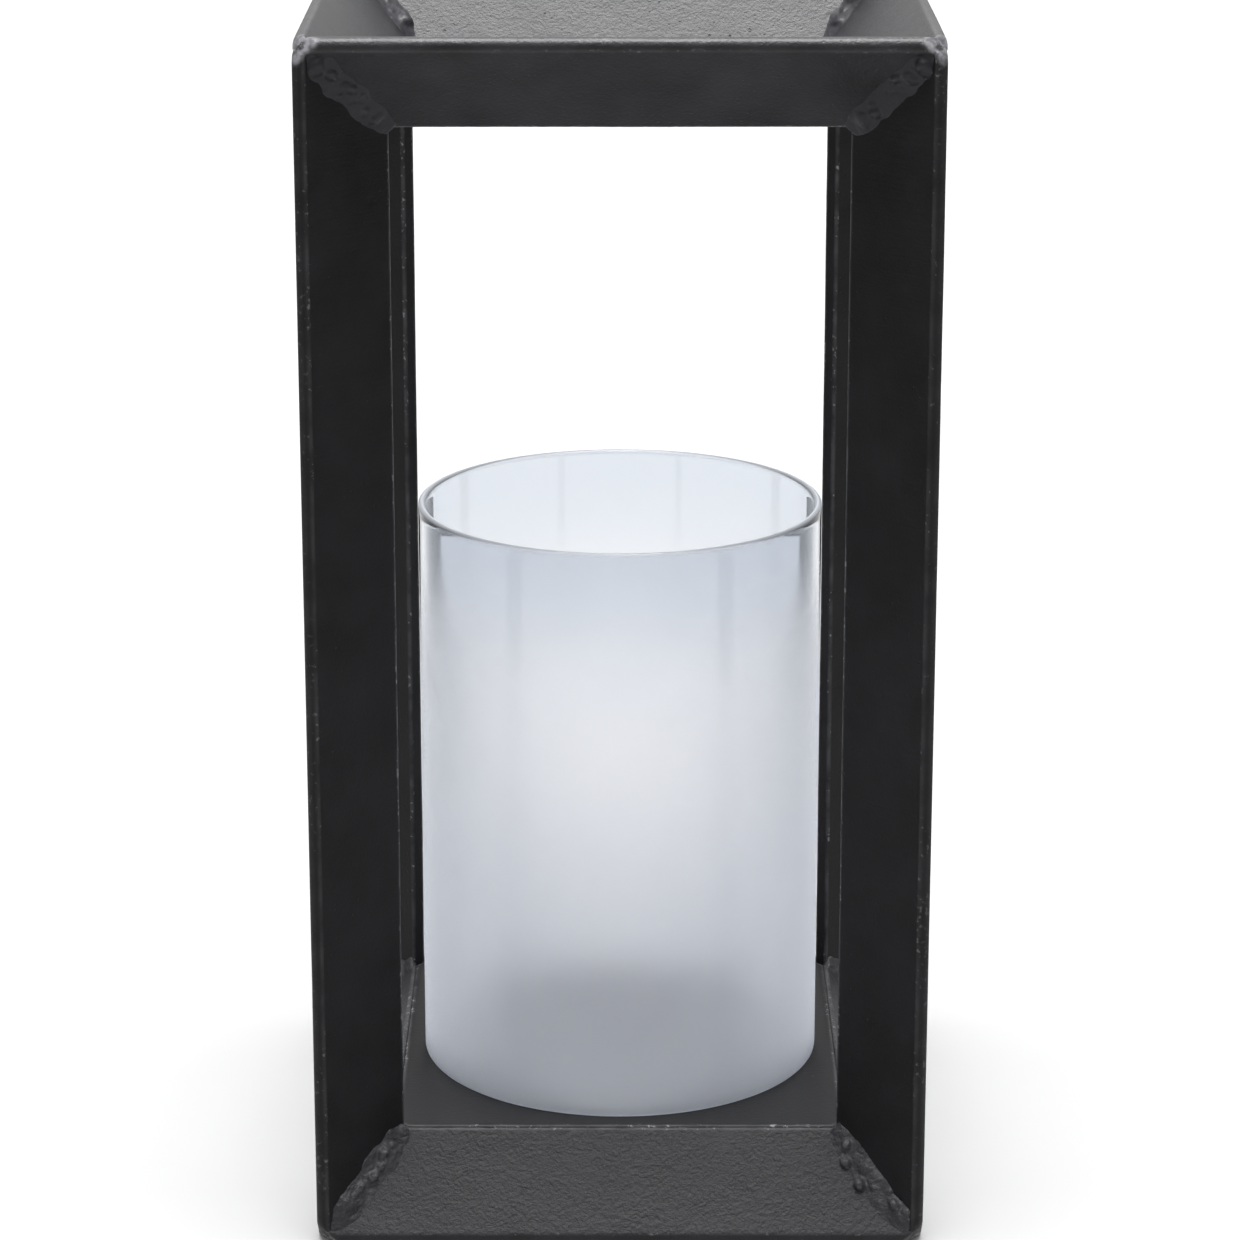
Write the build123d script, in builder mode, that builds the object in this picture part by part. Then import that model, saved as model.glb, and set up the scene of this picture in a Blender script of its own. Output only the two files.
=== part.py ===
"""Hurricane candle lantern: an open box frame of cast plates with a glass cylinder standing inside it.

Twelve flat plates join the edges of the outer box to the edges of a smaller inner box, so every plate
slants towards the middle: four uprights, four top rails and four base rails. Where three plates meet,
their ends are cut to a point and a fillet weld fills each of the three angles between them. A square
platform sits in the base rails' inner edges, and the glass stands on it without any fastener, so it
lifts out through the open top. Z is up, the origin is the middle of the footprint, and -Y is the front.
"""

import os
from itertools import product
from math import atan2, cos, degrees, hypot, radians, sin, sqrt

from build123d import *

# Driving dimensions, in millimetres.
outer_width = 220.0  # the square footprint, over the plates' outer edges
outer_height = 440.0
plate_thickness = 6.0
frame_inset = 29.0  # how far a plate reaches in from the outer box, at its middle line
frame_rise = 33.0  # how far a rail reaches down from the top, or up from the base
edge_radius = 3.0  # soft outer edges of the cast plates
foot_radius = 1.0  # the edges that meet the table stay crisper
corner_facet = 8.0  # the flat ground onto each outer corner, measured along the box's edges
weld_leg = 6.0  # a fillet weld's width along each plate
weld_crown = 1.0  # how far a weld's face bulges
weld_start = 14.0  # from the outer corner, which is ground clean
weld_end_gap = 0.5  # from the inner corner
tack_length = 24.0
tack_spread = 44.0  # centre to centre, two tacks on each side of the platform
glass_clearance = 3.8  # between the glass and the opening it lifts through, on each side
glass_wall = 2.5
glass_height = 216.0
rim_flat = 0.3  # what the two roundings of a fire-polished rim leave between them

# Worked out from them.
half_width = outer_width / 2
inner_half = half_width - frame_inset
upright_gap = 2 * inner_half * sqrt(2)  # between opposite uprights, across the diagonal
rail_width = hypot(frame_inset, frame_rise)
rail_in = frame_inset / rail_width  # a rail's slope: inwards and up, for each millimetre of its width
rail_up = frame_rise / rail_width
half_thickness = plate_thickness / 2
opening_half = inner_half - half_thickness * rail_up
platform_top = frame_rise + half_thickness * rail_in
platform_bottom = frame_rise - half_thickness * rail_in
glass_radius = opening_half - glass_clearance

os.makedirs("parts", exist_ok=True)


def write(part, name):
    """Labels a finished piece and writes it as one node."""
    part.label = name
    export_step(part, f"parts/{name}.step")


class Corner:
    """One of the frame's eight corners: its outer point, its seam and the three plates that meet on it."""

    def __init__(self, side_x, side_y, side_z):
        height = outer_height if side_z > 0 else 0
        self.outer = Vector(side_x * half_width, side_y * half_width, height)
        seam = Vector(-side_x * frame_inset, -side_y * frame_inset, -side_z * frame_rise)
        self.seam_length = seam.length
        self.seam = seam.normalized()
        self.spokes = {
            "upright": self.across_seam(Vector(0, 0, -side_z)),
            "rail_along_x": self.across_seam(Vector(-side_x, 0, 0)),
            "rail_along_y": self.across_seam(Vector(0, -side_y, 0)),
        }

    def across_seam(self, direction):
        """A plate's direction away from the seam, square to it."""
        return (direction - self.seam * direction.dot(self.seam)).normalized()

    def mitres(self, plate):
        """The two planes that cut this plate's end to a point, each facing the plate."""
        own = self.spokes[plate]
        planes = []
        for other, spoke in self.spokes.items():
            if other != plate:
                normal = self.seam.cross(own + spoke).normalized()
                facing = normal if normal.dot(own) > 0 else -normal
                planes.append(Plane(origin=self.outer, z_dir=facing))
        return planes

    def weld_angles(self):
        """For each pair of plates, the middle direction of the angle between them and its size."""
        spokes = list(self.spokes.values())
        for first, second in ((0, 1), (1, 2), (2, 0)):
            middle = (spokes[first] + spokes[second]).normalized()
            yield middle, spokes[first].get_angle(spokes[second])


def weld_bead(plane, angle, root, length):
    """A fillet weld. The plane's X points out of the angle, and root is how far out its corner lies."""
    half_angle = radians(angle / 2)
    reach = root + weld_leg * cos(half_angle)
    spread = weld_leg * sin(half_angle)
    with BuildPart() as bead:
        with BuildSketch(plane):
            with BuildLine():
                Polyline((reach, spread), (root, 0), (reach, -spread))
                ThreePointArc((reach, -spread), (reach + weld_crown, 0), (reach, spread))
            make_face()
        extrude(amount=length)
    return bead.part


# The outer box, with soft edges and a facet on every corner.
with BuildPart() as envelope:
    Box(outer_width, outer_width, outer_height, align=(Align.CENTER, Align.CENTER, Align.MIN))
    foot_edges = envelope.edges().group_by(Axis.Z)[0]
    fillet(envelope.edges() - foot_edges, radius=edge_radius)
    fillet(envelope.edges().group_by(Axis.Z)[0], radius=foot_radius)
    for side_x, side_y, side_z in product((-1, 1), repeat=3):
        facet = Plane(
            origin=Corner(side_x, side_y, side_z).outer - Vector(0, 0, side_z * corner_facet),
            z_dir=(side_x, side_y, side_z),
        )
        split(bisect_by=facet, keep=Keep.BOTTOM)

# One upright, at the front left, cut from a blank that stands in the diagonal plane.
with BuildPart() as upright_blank:
    diagonal = Plane(
        origin=(-inner_half, -inner_half, outer_height / 2),
        x_dir=(-1, -1, 0),
        z_dir=(-1, 1, 0),
    )
    with BuildSketch(diagonal):
        blank_width = frame_inset * sqrt(2) + plate_thickness
        Rectangle(blank_width, outer_height, align=(Align.MIN, Align.CENTER))
    extrude(amount=half_thickness, both=True)
    for mitre in Corner(-1, -1, -1).mitres("upright") + Corner(-1, -1, 1).mitres("upright"):
        split(bisect_by=mitre, keep=Keep.TOP)

# One base rail, at the front, sloping up and inwards from the foot.
with BuildPart() as base_rail_blank:
    slope = Plane(origin=(0, -half_width, 0), x_dir=(1, 0, 0), z_dir=(0, -rail_up, rail_in))
    with BuildSketch(slope):
        with Locations((0, -plate_thickness)):
            blank_width = rail_width + plate_thickness
            Rectangle(outer_width, blank_width, align=(Align.CENTER, Align.MIN))
    extrude(amount=half_thickness, both=True)
    for mitre in Corner(-1, -1, -1).mitres("rail_along_x") + Corner(1, -1, -1).mitres("rail_along_x"):
        split(bisect_by=mitre, keep=Keep.TOP)

# The same rail turned upside down, for the top.
top_rail_blank = mirror(base_rail_blank.part, about=Plane.XY.offset(outer_height / 2))

# Each blank is turned to its place and trimmed to the outer box.
upright_turns = {"front_left": 0, "front_right": 90, "back_right": 180, "back_left": 270}
rail_turns = {"front": 0, "right": 90, "back": 180, "left": 270}
plates = {f"upright_{place}": (upright_blank.part, turn) for place, turn in upright_turns.items()}
plates |= {f"base_rail_{place}": (base_rail_blank.part, turn) for place, turn in rail_turns.items()}
plates |= {f"top_rail_{place}": (top_rail_blank, turn) for place, turn in rail_turns.items()}
for plate_name, (blank, turn) in plates.items():
    with BuildPart() as plate:
        add(blank, rotation=(0, 0, turn))
        add(envelope.part, mode=Mode.INTERSECT)
    write(plate.part, plate_name)

# The platform lies in the base rails' inner edges, flush with them, so its own edges have their slope.
with BuildPart() as candle_platform:
    with BuildSketch(Plane.XY.offset(platform_bottom)):
        Rectangle(2 * opening_half, 2 * opening_half)
    extrude(amount=platform_top - platform_bottom, taper=-degrees(atan2(rail_up, rail_in)))
    # Its corners stop at the uprights' inner edges.
    Box(upright_gap, upright_gap, outer_height, rotation=(0, 0, 45), mode=Mode.INTERSECT)
write(candle_platform.part, "candle_platform")

# Three fillet welds in each corner, one in every angle between two plates.
level_names = {-1: "base", 1: "top"}
depth_names = {-1: "front", 1: "back"}
side_names = {-1: "left", 1: "right"}
for side_z, side_y, side_x in product((-1, 1), repeat=3):
    corner = Corner(side_x, side_y, side_z)
    corner_beads = []
    for middle, angle in corner.weld_angles():
        start = corner.outer + corner.seam * weld_start
        root = half_thickness / sin(radians(angle / 2))
        corner_beads.append(
            weld_bead(
                Plane(origin=start, x_dir=middle, z_dir=corner.seam),
                angle,
                root,
                corner.seam_length - weld_start - weld_end_gap,
            )
        )
    with BuildPart() as corner_weld:
        add(corner_beads)
    write(corner_weld.part, f"corner_weld_{level_names[side_z]}_{depth_names[side_y]}_{side_names[side_x]}")

# Two tack welds under each side of the platform, in its angle with the base rail.
tack_angle = 180 - degrees(atan2(rail_up, rail_in))
tack_out = radians(tack_angle / 2)
tacks = []
for turn in rail_turns.values():
    for along in (-tack_spread / 2, tack_spread / 2):
        tack_plane = Plane(
            origin=(along - tack_length / 2, -opening_half, platform_bottom),
            x_dir=(0, cos(tack_out), -sin(tack_out)),
            z_dir=(1, 0, 0),
        )
        tacks.append(weld_bead(tack_plane, tack_angle, 0, tack_length).rotate(Axis.Z, turn))
with BuildPart() as platform_tack_welds:
    add(tacks)
write(platform_tack_welds.part, "platform_tack_welds")

# The glass: a plain cylinder, open at both ends, with rounded rims.
with BuildPart() as hurricane_glass:
    with BuildSketch(Plane.XZ):
        with Locations((glass_radius - glass_wall / 2, platform_top + glass_height / 2)):
            RectangleRounded(glass_wall, glass_height, (glass_wall - rim_flat) / 2)
    revolve(axis=Axis.Z)
write(hurricane_glass.part, "hurricane_glass")
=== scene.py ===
"""The looks of the hurricane candle lantern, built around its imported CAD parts.

Every cast plate, weld, platform and glass is made again here as a finely meshed piece on the sizes of the
CAD part that it stands for. All lengths are in metres, with Z up and -Y the front.
"""

import logging
import math
from collections.abc import Callable, Iterable, Iterator, Mapping
from dataclasses import dataclass, field
from enum import Enum
from functools import partial
from itertools import combinations, product

import bmesh
import bpy
from bpy.types import Material, Node, NodeSocket, NodeTree, Object
from mathutils import Matrix, Vector, noise


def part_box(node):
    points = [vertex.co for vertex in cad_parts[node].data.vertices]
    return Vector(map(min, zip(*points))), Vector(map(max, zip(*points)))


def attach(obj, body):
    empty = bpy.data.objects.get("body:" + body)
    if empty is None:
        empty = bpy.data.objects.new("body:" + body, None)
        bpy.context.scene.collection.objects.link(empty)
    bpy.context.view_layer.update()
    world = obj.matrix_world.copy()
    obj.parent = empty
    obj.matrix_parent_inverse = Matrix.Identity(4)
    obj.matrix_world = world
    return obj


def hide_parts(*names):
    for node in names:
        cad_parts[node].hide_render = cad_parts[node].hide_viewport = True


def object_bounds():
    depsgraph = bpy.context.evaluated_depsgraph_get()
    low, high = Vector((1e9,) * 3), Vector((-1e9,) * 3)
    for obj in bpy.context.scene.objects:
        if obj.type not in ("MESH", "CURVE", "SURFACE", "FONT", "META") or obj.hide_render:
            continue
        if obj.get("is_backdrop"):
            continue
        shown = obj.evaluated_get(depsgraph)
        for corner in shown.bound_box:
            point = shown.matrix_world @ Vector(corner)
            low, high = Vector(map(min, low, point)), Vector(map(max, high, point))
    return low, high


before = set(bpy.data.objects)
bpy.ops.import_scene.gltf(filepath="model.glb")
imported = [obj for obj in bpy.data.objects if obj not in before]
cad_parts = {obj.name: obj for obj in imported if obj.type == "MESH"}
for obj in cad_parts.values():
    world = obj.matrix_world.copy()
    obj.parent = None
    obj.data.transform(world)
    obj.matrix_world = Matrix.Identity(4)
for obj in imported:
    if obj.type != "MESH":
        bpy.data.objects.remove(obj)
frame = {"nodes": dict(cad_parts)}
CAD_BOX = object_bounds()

MM = 0.001
MERGE_DISTANCE = 0.00001
NodeAdder = Callable[..., Node]
log = logging.getLogger("lantern")


class Level(Enum):
    """The two ends of the lantern; the value is the sign of the way out along Z."""

    BASE = -1
    TOP = 1


class Spoke(Enum):
    """The three kinds of plate that meet on a corner's seam."""

    UPRIGHT = 0
    RAIL_ALONG_X = 1
    RAIL_ALONG_Y = 2


class FirstSeed(Enum):
    """Where each group of pieces starts its random draws, so that no two pieces share a surface."""

    UPRIGHT = 1
    BASE_RAIL = 11
    TOP_RAIL = 21
    CORNER_WELD = 31
    TACK_WELD = 51
    PLATFORM = 61


def linear(hex_colour: str) -> tuple[float, float, float, float]:
    """Turns an sRGB hex colour into the linear colour that a shader takes.

    Args:
        hex_colour: six hex digits after a hash.

    Returns:
        Red, green, blue and an alpha of one.
    """
    channels = (int(hex_colour[i : i + 2], 16) / 255 for i in (1, 3, 5))
    return (*(c / 12.92 if c <= 0.04045 else ((c + 0.055) / 1.055) ** 2.4 for c in channels), 1.0)


def add_node(tree: NodeTree, kind: str, inputs: Mapping = {}, **settings) -> Node:
    """Adds one node with its settings, and fills or links its inputs.

    Args:
        tree: the tree that the node goes into.
        kind: Blender's name for this type of node.
        inputs: a plain value, a socket, or a node for its first output, by the input's name or number.
        **settings: the node's own properties, set before its inputs.

    Returns:
        The new node.
    """
    node = tree.nodes.new(kind)
    for name, value in settings.items():
        setattr(node, name, value)
    for name, value in inputs.items():
        source = value.outputs[0] if isinstance(value, Node) else value
        if isinstance(source, NodeSocket):
            tree.links.new(source, node.inputs[name])
        else:
            node.inputs[name].default_value = source
    return node


def new_material(name: str) -> tuple[Material, NodeAdder]:
    """Makes an empty node material.

    Args:
        name: what the finish is called.

    Returns:
        The material, and the function that adds a node to it.
    """
    material = bpy.data.materials.new(name)
    material.use_nodes = True
    material.node_tree.nodes.clear()
    return material, partial(add_node, material.node_tree)


class ShapeTree:
    """A Geometry Nodes tree with named inputs, which is run on one mesh at a time."""

    def __init__(self, name: str, inputs: Mapping[str, str]) -> None:
        """Starts the tree.

        Args:
            name: what the tree does.
            inputs: the type of each input, by its name, such as Float for a size.
        """
        self.tree = bpy.data.node_groups.new(name, "GeometryNodeTree")
        sockets = self.tree.interface
        sockets.new_socket("Geometry", in_out="INPUT", socket_type="NodeSocketGeometry")
        for input_name, kind in {**inputs, "Material": "Material"}.items():
            sockets.new_socket(input_name, in_out="INPUT", socket_type=f"NodeSocket{kind}")
        sockets.new_socket("Geometry", in_out="OUTPUT", socket_type="NodeSocketGeometry")
        self.given = add_node(self.tree, "NodeGroupInput").outputs
        self.close(self.build())

    def add(self, kind: str, inputs: Mapping = {}, **settings) -> Node:
        """Adds one node to this tree."""
        return add_node(self.tree, kind, inputs, **settings)

    def build(self) -> NodeSocket:
        """Adds the tree's own nodes and returns the shape that they make."""
        raise NotImplementedError

    def close(self, shape: NodeSocket) -> None:
        """Realizes the shape, gives it its material and sends it out."""
        real = self.add("GeometryNodeRealizeInstances", {"Geometry": shape})
        dressed = self.add(
            "GeometryNodeSetMaterial",
            {"Geometry": real, "Material": self.given["Material"]},
        )
        self.add("NodeGroupOutput", {0: dressed})

    def put_on(self, shape: Object, values: Mapping) -> None:
        """Adds the tree to an object as a modifier.

        Args:
            shape: the object.
            values: the value of each input, by its name.
        """
        modifier = shape.modifiers.new(self.tree.name, "NODES")
        modifier.node_group = self.tree
        for item in self.tree.interface.items_tree:
            if item.item_type == "SOCKET" and item.in_out == "INPUT" and item.name in values:
                modifier[item.identifier] = values[item.name]


class PlateSweep(ShapeTree):
    """Sweeps a plate's outline along its length and draws both ends back to their mitres."""

    def __init__(self) -> None:
        """Names the sizes that a plate is swept by."""
        sizes = {
            "Half Length": "Float",
            "Width": "Vector",
            "Seam Run": "Float",
            "Mitre Inside": "Float",
            "Mitre Outside": "Float",
            "Step": "Float",
            "Section Step": "Float",
        }
        super().__init__("plate_sweep", sizes)

    def with_place(self, curve: Node) -> Node:
        """Remembers where each point of a curve is, as the node's second output."""
        kept = self.add("GeometryNodeCaptureAttribute", {"Geometry": curve})
        kept.capture_items.new("VECTOR", "Place")
        place = self.add("GeometryNodeInputPosition")
        self.tree.links.new(place.outputs[0], kept.inputs[1])
        return kept

    def build(self) -> NodeSocket:
        """Sweeps the outline, which lies in the XY plane with its outer corner at the origin, along Z."""
        given = self.given
        outline = self.add("GeometryNodeMeshToCurve", {"Mesh": given["Geometry"]})
        softness = self.add("GeometryNodeInputNamedAttribute", {"Name": "softness"}, data_type="FLOAT")
        soft = self.add(
            "GeometryNodeFilletCurve",
            {"Curve": outline, "Radius": softness, "Limit Radius": True, "Count": 4},
            mode="POLY",
        )
        section = self.add(
            "GeometryNodeResampleCurve",
            {"Curve": soft, "Length": given["Section Step"]},
            mode="LENGTH",
        )
        section_kept = self.with_place(section)
        steps = self.add("ShaderNodeMath", {0: given["Half Length"], 1: given["Step"]}, operation="DIVIDE")
        stations = self.add("ShaderNodeMath", {0: steps, 1: 2.0}, operation="MULTIPLY")
        line = self.add("GeometryNodeCurvePrimitiveLine", {"Start": (0, 0, -1), "End": (0, 0, 1)})
        path = self.add("GeometryNodeResampleCurve", {"Curve": line, "Count": stations}, mode="COUNT")
        path_kept = self.with_place(path)
        swept = self.add(
            "GeometryNodeCurveToMesh",
            {"Curve": path_kept, "Profile Curve": section_kept, "Fill Caps": True},
        )

        place, width = section_kept.outputs[1], given["Width"]
        reach = self.add("ShaderNodeVectorMath", {0: place, 1: width}, operation="DOT_PRODUCT")
        square = self.add("ShaderNodeVectorMath", {0: width, 1: width}, operation="DOT_PRODUCT")
        share = self.add(
            "ShaderNodeMath", {0: reach.outputs["Value"], 1: square.outputs["Value"]}, operation="DIVIDE"
        )
        run = self.add("ShaderNodeMath", {0: share, 1: given["Seam Run"]}, operation="MULTIPLY")
        cross = self.add("ShaderNodeVectorMath", {0: place, 1: width}, operation="CROSS_PRODUCT")
        cross_z = self.add("ShaderNodeSeparateXYZ", {0: cross})
        length = self.add("ShaderNodeVectorMath", {0: width}, operation="LENGTH")
        depth = self.add(
            "ShaderNodeMath", {0: cross_z.outputs["Z"], 1: length.outputs["Value"]}, operation="DIVIDE"
        )
        inside = self.add("ShaderNodeMath", {0: depth, 1: 0.0}, operation="MAXIMUM")
        outside = self.add("ShaderNodeMath", {0: depth, 1: 0.0}, operation="MINIMUM")
        drawn_inside = self.add(
            "ShaderNodeMath", {0: inside, 1: given["Mitre Inside"]}, operation="MULTIPLY"
        )
        drawn_outside = self.add(
            "ShaderNodeMath", {0: outside, 1: given["Mitre Outside"]}, operation="MULTIPLY"
        )
        end = given["Half Length"]
        for step, operation in ((run, "SUBTRACT"), (drawn_inside, "SUBTRACT"), (drawn_outside, "ADD")):
            end = self.add("ShaderNodeMath", {0: end, 1: step}, operation=operation)
        along = self.add("ShaderNodeSeparateXYZ", {0: path_kept.outputs[1]})
        drawn = self.add("ShaderNodeMath", {0: along.outputs["Z"], 1: end}, operation="MULTIPLY")
        flat = self.add("ShaderNodeSeparateXYZ", {0: place})
        moved = self.add(
            "ShaderNodeCombineXYZ",
            {"X": flat.outputs["X"], "Y": flat.outputs["Y"], "Z": drawn},
        )
        return self.add("GeometryNodeSetPosition", {"Geometry": swept, "Position": moved}).outputs[0]


class CastSkin(ShapeTree):
    """Gives a smooth shape a hand-cast surface, and keeps it inside the ground outer box.

    Only the upper corners count as ground bare, from a little under the facet's plane outwards; that pale
    mark is partly bare metal and partly a painted highlight where the overhead light falls.
    """

    GROUND_START = -2.2 * MM
    GROUND_FULL = -0.4 * MM
    # The pale corner mark stops at half height: a painted highlight on the upper corners only.
    UPPER_FROM = 0.5

    NAMES = (
        "Wave Height", "Wave Length", "Lump Height", "Lump Size", "Grain Height", "Grain Size",
        "Dent Depth", "Dent Size", "Dent Spacing", "Half Width", "Height", "Facet", "Facet Softness",
        "Seed",
    )

    def __init__(self) -> None:
        """Names the sizes of the waves, lumps, grain and dents, and of the box."""
        super().__init__("cast_skin", {name: "Float" for name in self.NAMES})

    def noise(self, height: str, size: str, octaves: float, seed_shift: float) -> Node:
        """Adds one layer of relief.

        Args:
            height: the input that gives the relief's height, from hollow to crest.
            size: the input that gives the distance from one crest to the next.
            octaves: how much finer detail it carries.
            seed_shift: moves the layer away from the others.

        Returns:
            The relief's node, in metres, about zero.
        """
        scale = self.add("ShaderNodeMath", {0: 1.0, 1: self.given[size]}, operation="DIVIDE")
        seed = self.add("ShaderNodeMath", {0: self.given["Seed"], 1: seed_shift}, operation="ADD")
        texture = self.add(
            "ShaderNodeTexNoise", {"W": seed, "Scale": scale, "Detail": octaves}, noise_dimensions="4D"
        )
        centred = self.add("ShaderNodeMath", {0: texture, 1: 0.5}, operation="SUBTRACT")
        return self.add("ShaderNodeMath", {0: centred, 1: self.given[height]}, operation="MULTIPLY")

    def dents(self) -> Node:
        """Adds sparse shallow dents and returns the node of their depth, in metres."""
        scale = self.add("ShaderNodeMath", {0: 1.0, 1: self.given["Dent Spacing"]}, operation="DIVIDE")
        cells = self.add(
            "ShaderNodeTexVoronoi",
            {"W": self.given["Seed"], "Scale": scale},
            voronoi_dimensions="4D",
        )
        span = self.add("ShaderNodeMath", {0: self.given["Dent Size"], 1: scale}, operation="MULTIPLY")
        bowl = self.add(
            "ShaderNodeMapRange",
            {"Value": cells.outputs["Distance"], "From Max": span, "To Min": 1.0, "To Max": 0.0},
            interpolation_type="SMOOTHSTEP",
        )
        chance = self.add("ShaderNodeSeparateXYZ", {0: cells.outputs["Color"]})
        depth = self.add("ShaderNodeMath", {0: bowl, 1: chance.outputs["X"]}, operation="MULTIPLY")
        return self.add("ShaderNodeMath", {0: depth, 1: self.given["Dent Depth"]}, operation="MULTIPLY")

    def inside_box(self, place: NodeSocket) -> tuple[NodeSocket, NodeSocket]:
        """Grinds the outer corners to soft facets and keeps every point in the outer box.

        Args:
            place: where each point would be.

        Returns:
            Where each point ends up, and how far out of the corner's facet it was.
        """
        given = self.given
        half_height = self.add("ShaderNodeMath", {0: given["Height"], 1: 0.5}, operation="MULTIPLY")
        centre = self.add("ShaderNodeCombineXYZ", {"Z": half_height})
        low = self.add("ShaderNodeVectorMath", {0: place, 1: centre}, operation="SUBTRACT")
        sides = self.add("ShaderNodeVectorMath", {0: low}, operation="ABSOLUTE")
        total = self.add("ShaderNodeVectorMath", {0: sides, 1: (1.0, 1.0, 1.0)}, operation="DOT_PRODUCT")
        limit = self.add(
            "ShaderNodeMath",
            {0: given["Half Width"], 1: 2.0, 2: half_height},
            operation="MULTIPLY_ADD",
        )
        limit = self.add("ShaderNodeMath", {0: limit, 1: given["Facet"]}, operation="SUBTRACT")
        over = self.add("ShaderNodeMath", {0: total.outputs["Value"], 1: limit}, operation="SUBTRACT")
        soft = self.add(
            "ShaderNodeMath",
            {0: over, 1: 0.0, 2: given["Facet Softness"]},
            operation="SMOOTH_MAX",
        )
        third = self.add("ShaderNodeMath", {0: soft, 1: 3.0}, operation="DIVIDE")
        outward = self.add("ShaderNodeVectorMath", {0: low}, operation="SIGN")
        push = self.add("ShaderNodeVectorMath", {0: outward, "Scale": third}, operation="SCALE")
        ground = self.add("ShaderNodeVectorMath", {0: place, 1: push}, operation="SUBTRACT")
        top = self.add(
            "ShaderNodeCombineXYZ",
            {"X": given["Half Width"], "Y": given["Half Width"], "Z": given["Height"]},
        )
        negative = self.add("ShaderNodeMath", {0: given["Half Width"], 1: -1.0}, operation="MULTIPLY")
        foot = self.add("ShaderNodeCombineXYZ", {"X": negative, "Y": negative})
        kept = self.add("ShaderNodeVectorMath", {0: ground, 1: top}, operation="MINIMUM")
        kept = self.add("ShaderNodeVectorMath", {0: kept, 1: foot}, operation="MAXIMUM")
        return kept.outputs[0], over.outputs[0]

    def build(self) -> NodeSocket:
        """Stores how near each point is to an edge or a ground corner, then moves the points."""
        bend = self.add("GeometryNodeInputMeshEdgeAngle")
        blurred = self.add(
            "GeometryNodeBlurAttribute",
            {"Value": bend.outputs["Unsigned Angle"], "Iterations": 2},
            data_type="FLOAT",
        )
        marked = self.add(
            "GeometryNodeStoreNamedAttribute",
            {"Geometry": self.given["Geometry"], "Name": "edge", "Value": blurred},
            data_type="FLOAT",
            domain="POINT",
        )
        relief = self.noise("Wave Height", "Wave Length", 1.0, 0.0)
        for layer in (
            self.noise("Lump Height", "Lump Size", 2.0, 10.0),
            self.noise("Grain Height", "Grain Size", 1.0, 20.0),
        ):
            relief = self.add("ShaderNodeMath", {0: relief, 1: layer}, operation="ADD")
        relief = self.add("ShaderNodeMath", {0: relief, 1: self.dents()}, operation="SUBTRACT")
        normal = self.add("GeometryNodeInputNormal")
        shift = self.add("ShaderNodeVectorMath", {0: normal, "Scale": relief}, operation="SCALE")
        place = self.add("GeometryNodeInputPosition")
        moved = self.add("ShaderNodeVectorMath", {0: place, 1: shift}, operation="ADD")
        kept, over = self.inside_box(moved.outputs[0])
        facet = self.add(
            "ShaderNodeMapRange",
            {"Value": over, "From Min": self.GROUND_START, "From Max": self.GROUND_FULL},
        )
        height = self.add("ShaderNodeSeparateXYZ", {0: place})
        share = self.add(
            "ShaderNodeMath", {0: height.outputs["Z"], 1: self.given["Height"]}, operation="DIVIDE"
        )
        # Bare mark on the upper corners only: partly ground metal, partly a painted highlight.
        upper = self.add("ShaderNodeMath", {0: share, 1: self.UPPER_FROM}, operation="GREATER_THAN")
        bared_and_highlit = self.add("ShaderNodeMath", {0: facet, 1: upper}, operation="MULTIPLY")
        ground = self.add(
            "GeometryNodeStoreNamedAttribute",
            {"Geometry": marked, "Name": "ground", "Value": bared_and_highlit},
            data_type="FLOAT",
            domain="POINT",
        )
        return self.add("GeometryNodeSetPosition", {"Geometry": ground, "Position": kept}).outputs[0]


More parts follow.
